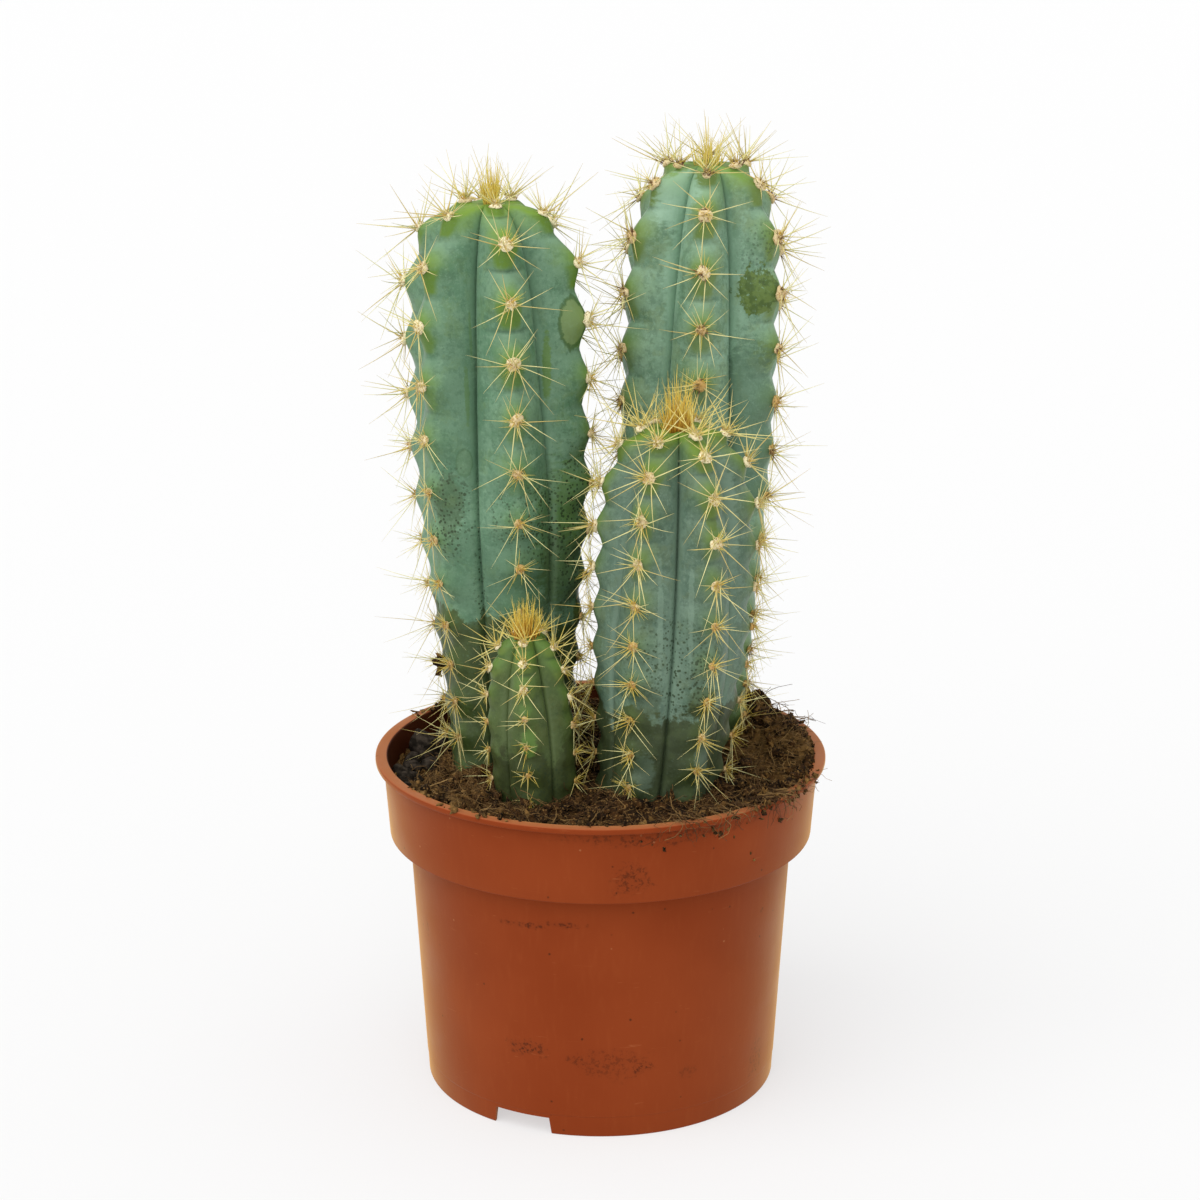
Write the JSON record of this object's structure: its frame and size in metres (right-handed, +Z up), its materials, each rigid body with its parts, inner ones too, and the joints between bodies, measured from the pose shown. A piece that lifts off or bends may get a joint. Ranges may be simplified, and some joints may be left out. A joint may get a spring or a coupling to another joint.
{
  "type": "blue torch cactus in a nursery pot",
  "caption": "Blue torch cactus: ribbed blue-green stems and a pup with straw-yellow spines, in peat in a terracotta-coloured plastic nursery pot with a rolled collar and notched foot.",
  "frame": {"origin": "the pot's axis, at the level that its foot ring stands on, which is also the middle of the object's box seen from above to within 2 mm", "axes": "+Z up; -Y is the front, where the pup and the shorter stem stand; +X is to the right seen from the front"},
  "size_m": [0.1251, 0.12, 0.2565],
  "materials": {
    "pot_plastic": "terracotta-coloured moulded plastic, semi-matt, with peat dust and fine scratches",
    "peat": "dry fibrous peat, matt",
    "skin": "blue-green waxy skin with straw-yellow spines",
    "pup_skin": "green waxy young skin with straw-yellow spines"
  },
  "bodies": {
    "root": {"pot": "pot_plastic", "soil": "peat", "cactus_left": "skin", "cactus_right": "skin", "cactus_front": "skin", "cactus_pup": "pup_skin"}
  },
  "joints": []
}
